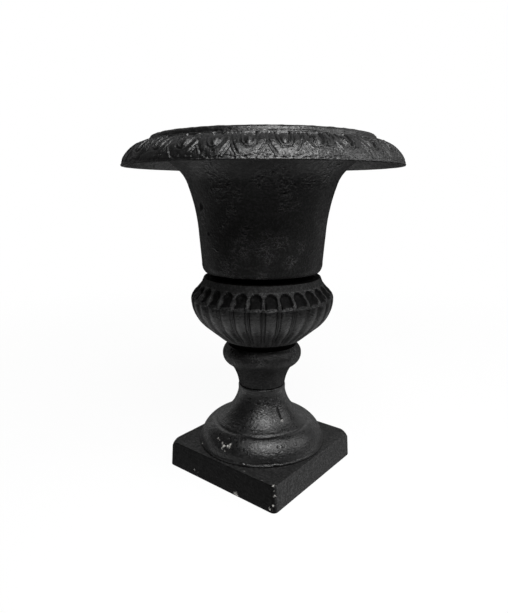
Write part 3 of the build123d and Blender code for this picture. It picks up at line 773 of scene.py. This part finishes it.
def bare_iron_and_shade():
    """Raw casting in the joints, brown black and quite matte; there and on the bowl's neck it is also painted
    shade.
    """
    n = Nodes("bare_iron_and_shade")
    shader = n.node("ShaderNodeBsdfPrincipled")
    n.link(shader.outputs[0], n.out.inputs["Surface"])
    at = n.position()
    n.link(n.mix(n.noise(at, 150, 3), (0.0004, 0.0004, 0.0004, 1), (0.0016, 0.0014, 0.0012, 1)),
           shader.inputs["Base Color"])
    n.link(n.step(n.noise(at, 300, 2), 0.3, 0.7, 0.8, 1.0), shader.inputs["Roughness"])
    shader.inputs["Specular IOR Level"].default_value = 0.02
    n.link(n.bump(n.noise(at, 700, 2), 0.0003), shader.inputs["Normal"])
    return n.material


def zinc():
    """Dull zinc plate on the rod, nuts and washers."""
    n = Nodes("plated_steel")
    shader = n.node("ShaderNodeBsdfPrincipled")
    n.link(shader.outputs[0], n.out.inputs["Surface"])
    at = n.position()
    mottle = n.noise(at, 260, 4)
    n.link(n.mix(n.step(mottle, 0.35, 0.65), (0.33, 0.33, 0.34, 1), (0.5, 0.5, 0.5, 1)),
           shader.inputs["Base Color"])
    n.link(n.step(mottle, 0.3, 0.7, 0.32, 0.5), shader.inputs["Roughness"])
    shader.inputs["Metallic"].default_value = 1.0
    n.link(n.bump(n.noise(at, 1500, 2), 0.00004), shader.inputs["Normal"])
    return n.material


trees = [BVHTree.FromObject(piece, bpy.context.evaluated_depsgraph_get()) for piece in (pedestal, bowl, bell)]


def on_surface(pixel):
    """Point of the castings that a pixel of the camera's picture shows, or None."""
    reach = SENSOR_MM / LENS_MM * 0.5
    side = max(IMAGE_W, IMAGE_H) / 2
    ray = Vector(((pixel[0] - IMAGE_W / 2) / side * reach, (IMAGE_H / 2 - pixel[1]) / side * reach, -1))
    ray = camera.rotation_euler.to_matrix() @ ray
    hits = [tree.ray_cast(Vector(CAMERA_AT), ray) for tree in trees]
    hits = [(hit[3], hit[0]) for hit in hits if hit[0]]
    return min(hits)[1] if hits else None


def marks(places):
    """Places given by pixel, size in mm and what else, as points on the castings, size in m and the rest."""
    found = [(on_surface(pixel), size * MM, *rest) for pixel, size, *rest in places]
    return [mark for mark in found if mark[0]]


# ------------------------------------------------------------------ finish
# Places where the paint is chipped: pixel of the picture, size in mm, and how much of it is bare.
CHIPS = (
    ((218, 438), 1.3, 0.8), ((219.5, 440), 1.2, 0.6), ((222.5, 443), 1.3, 0.8), ((223.3, 446), 1.5, 0.9),
    ((222.3, 448), 1.2, 0.7), ((224.7, 451), 1.2, 0.7), ((227.5, 446), 1.2, 0.9), ((230, 445), 1.2, 0.8),
    ((229.5, 447.5), 1.1, 0.9), ((202, 443.6), 0.9, 0.8), ((244.5, 471.4), 1.0, 0.6), ((252, 475), 1.8, 0.3),
    ((262, 480), 1.8, 0.35), ((234.5, 493.5), 1.4, 0.8), ((236.5, 494.5), 1.8, 0.9), ((194.5, 470), 1.5, 0.6),
    ((198, 472), 1.3, 0.5), ((273.5, 485.5), 1.4, 0.8), ((274, 491), 1.5, 0.4), ((274.3, 496), 1.3, 0.8),
    ((273.8, 501), 1.5, 0.4), ((273.4, 506), 1.4, 0.7), ((269.8, 509), 1.6, 0.7), ((279, 499), 2.0, 0.2),
    ((280, 506), 2.0, 0.2), ((331.4, 437.3), 1.6, 0.5), ((337.7, 430), 1.6, 0.4), ((282.2, 420.5), 1.2, 0.8),
)
KNOP_CHIPS = (((231.8, 364), 1.0, 0.6),)
# Pits of the bell and the knop, and the pits that make a scratch down the trumpet: pixel, and size in mm.
PITS = (
    ((201.5, 206.5), 2.9), ((200.5, 209), 1.5), ((208.8, 233.5), 1.8), ((231.5, 349.5), 1.6),
    ((233, 352), 1.2), ((235.5, 355), 1.5), ((239, 357), 1.2),
)
SCRATCH = (
    ((277.4, 408.5), 1.3), ((278, 410.5), 1.4), ((278.7, 412.5), 1.4), ((279.4, 414.5), 1.4),
    ((280.2, 416.3), 1.4), ((281.2, 418.2), 1.3),
)
# Patches where the paint of the bell has wrinkled: pixel, and size in mm.
WRINKLES = (
    ((262, 178), 11), ((284, 182), 10), ((309, 183), 8), ((225, 183), 9), ((281, 243), 10), ((262, 250), 9),
    ((300, 247), 7), ((246, 232), 7), ((290, 262), 8), ((232, 210), 8),
)
knop_chips = marks(KNOP_CHIPS)
chips = marks(CHIPS) + knop_chips
# In the order of GLOSSY_PAINT, BARE_IRON_AND_SHADE and the rest.
finishes = (
    painted_iron("painted_iron", GLOSSY, gloss=0.5, dull=0.0, wrinkled=0.0005, chips=chips,
                 pits=marks(SCRATCH)),
    bare_iron_and_shade(),
    # Painted light on the plinth's sides, and painted shade on its side at -Y.
    painted_iron("plinth_light_iron", PLINTH_LIGHT, gloss=0.05, dull=0.2, wrinkled=0.0004, chips=chips, shaded=SHADED),
    painted_iron("dark_iron", DARK, gloss=0.10, dull=0.2, wrinkled=0.0004, chips=chips),
    painted_iron("satin_iron", SATIN, gloss=0.26, dull=0.12, wrinkled=0.0013, chips=knop_chips,
                 pits=marks(PITS), wrinkles=marks(WRINKLES)),
    # Painted shade for the deep niches, in the SHADED colours.
    painted_iron("niche_shade_iron", SHADED, gloss=0.06, dull=0.2, wrinkled=0.0006),
)
for piece, node in ((pedestal, "pedestal"), (bowl, "fluted_bowl"), (bell, "bell")):
    for finish in finishes:
        piece.data.materials.append(finish)
    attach(piece, "root")
    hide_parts(node)
steel = zinc()
rod.data.materials.append(steel)
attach(rod, "root")
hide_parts("tie_rod")
for node in ("top_washer", "top_nut", "bottom_washer", "bottom_nut"):
    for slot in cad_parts[node].material_slots:
        slot.material = steel

# ------------------------------------------------------------------ floor, world and lamps
FLOOR_SIZE, WALL_R, WALL_HEIGHT, WALL_PANELS = 6.0, 2.2, 2.4, 96
AMBIENT = 0.08
VIEW_ANGLE, VIEW_DISTANCE = -52.1, 0.399  # the camera's polar angle round the axis, and its metres from it
WHITE, SURROUND = (1, 1, 1, 1), (0.12, 0.12, 0.12, 1)
WEDGE_WHITE, WEDGE_DIM = 0.56, 0.85  # slopes across the view between which the white paper fades
PAPER_STARTS, PAPER_FULL = 0.05, 0.2  # metres in front of the camera's place
SHADOW_R, SHADOWLESS_R, SHADOW_SHARE = 0.25, 0.9, 0.95  # near the urn the floor keeps some of its shadow
LAMP_AIM, LAMP_DISTANCE, LAMP_SIZE = (0, 0, 0.16), 0.9, 0.5


def studio_paper():
    """White paper, white to the camera everywhere.

    Its light and its reflections on the urn fade out to the sides of the picture and behind the camera.
    """
    n = Nodes("studio_paper")
    toward = (cos(radians(VIEW_ANGLE)), sin(radians(VIEW_ANGLE)), 0)
    across = (-toward[1], toward[0], 0)
    at = n.node("ShaderNodeTexCoord").outputs["Object"]
    depth = n.math("SUBTRACT", VIEW_DISTANCE, n.dot(at, toward))
    spread = n.math("DIVIDE", n.math("ABSOLUTE", n.dot(at, across)), n.math("MAXIMUM", depth, 0.02))
    white = n.math("MULTIPLY", n.step(spread, WEDGE_WHITE, WEDGE_DIM, 1.0, 0.0),
                   n.step(depth, PAPER_STARTS, PAPER_FULL))
    tone = n.mix(white, SURROUND, WHITE)
    diffuse = n.node("ShaderNodeBsdfDiffuse")
    n.link(tone, diffuse.inputs["Color"])
    glow = n.node("ShaderNodeEmission")
    path = n.node("ShaderNodeLightPath")
    n.link(n.mix(path.outputs["Is Camera Ray"], tone, WHITE), glow.inputs["Color"])
    seen = n.math("MAXIMUM", path.outputs["Is Camera Ray"], path.outputs["Is Glossy Ray"])
    seen = n.math("MAXIMUM", seen, path.outputs["Is Transmission Ray"])
    mix = n.node("ShaderNodeMixShader")
    share = n.step(n.distance(at, (0, 0, 0)), SHADOW_R, SHADOWLESS_R, SHADOW_SHARE, 1.0)
    n.link(n.math("MULTIPLY", seen, share), mix.inputs[0])
    n.link(diffuse.outputs[0], mix.inputs[1])
    n.link(glow.outputs[0], mix.inputs[2])
    n.link(mix.outputs[0], n.out.inputs["Surface"])
    return n.material


def backdrop():
    """Floor, and a wall that stands on it all round."""
    half, steps = FLOOR_SIZE / 2, WALL_PANELS
    ground = new_mesh("floor", [(-half, -half, 0), (half, -half, 0), (half, half, 0), (-half, half, 0)],
                      [(0, 1, 2, 3)])
    ring = [(WALL_R * cos(t), WALL_R * sin(t)) for t in even(steps)]
    verts = [(x, y, z) for z in (0, WALL_HEIGHT) for x, y in ring]
    panels = [(i, (i + 1) % steps, (i + 1) % steps + steps, i + steps) for i in range(steps)]
    wall = new_mesh("wall", verts, panels)
    paper = studio_paper()
    for piece in (ground, wall):
        piece.data.materials.append(paper)


backdrop()
world = bpy.data.worlds.new("studio")
world.use_nodes = True
world.node_tree.nodes["Background"].inputs["Color"].default_value = WHITE
world.node_tree.nodes["Background"].inputs["Strength"].default_value = AMBIENT
bpy.context.scene.world = world


def lamp(name, across, up, watts):
    """Soft box aimed at the urn, across degrees to the camera's right and up degrees above the horizon."""
    data = bpy.data.lights.new(name, "AREA")
    data.shape, data.size, data.size_y, data.energy = "RECTANGLE", LAMP_SIZE, LAMP_SIZE, watts
    box = bpy.data.objects.new(name, data)
    turn = radians(VIEW_ANGLE + across)
    back = Vector((cos(turn) * cos(radians(up)), sin(turn) * cos(radians(up)), sin(radians(up))))
    box.location = Vector(LAMP_AIM) + back * LAMP_DISTANCE
    box.rotation_euler = back.to_track_quat("Z", "Y").to_euler()
    bpy.context.scene.collection.objects.link(box)


lamp("key", across=14, up=54, watts=11.0)
lamp("side", across=80, up=30, watts=3.3)

bpy.context.scene.view_settings.view_transform = "Standard"
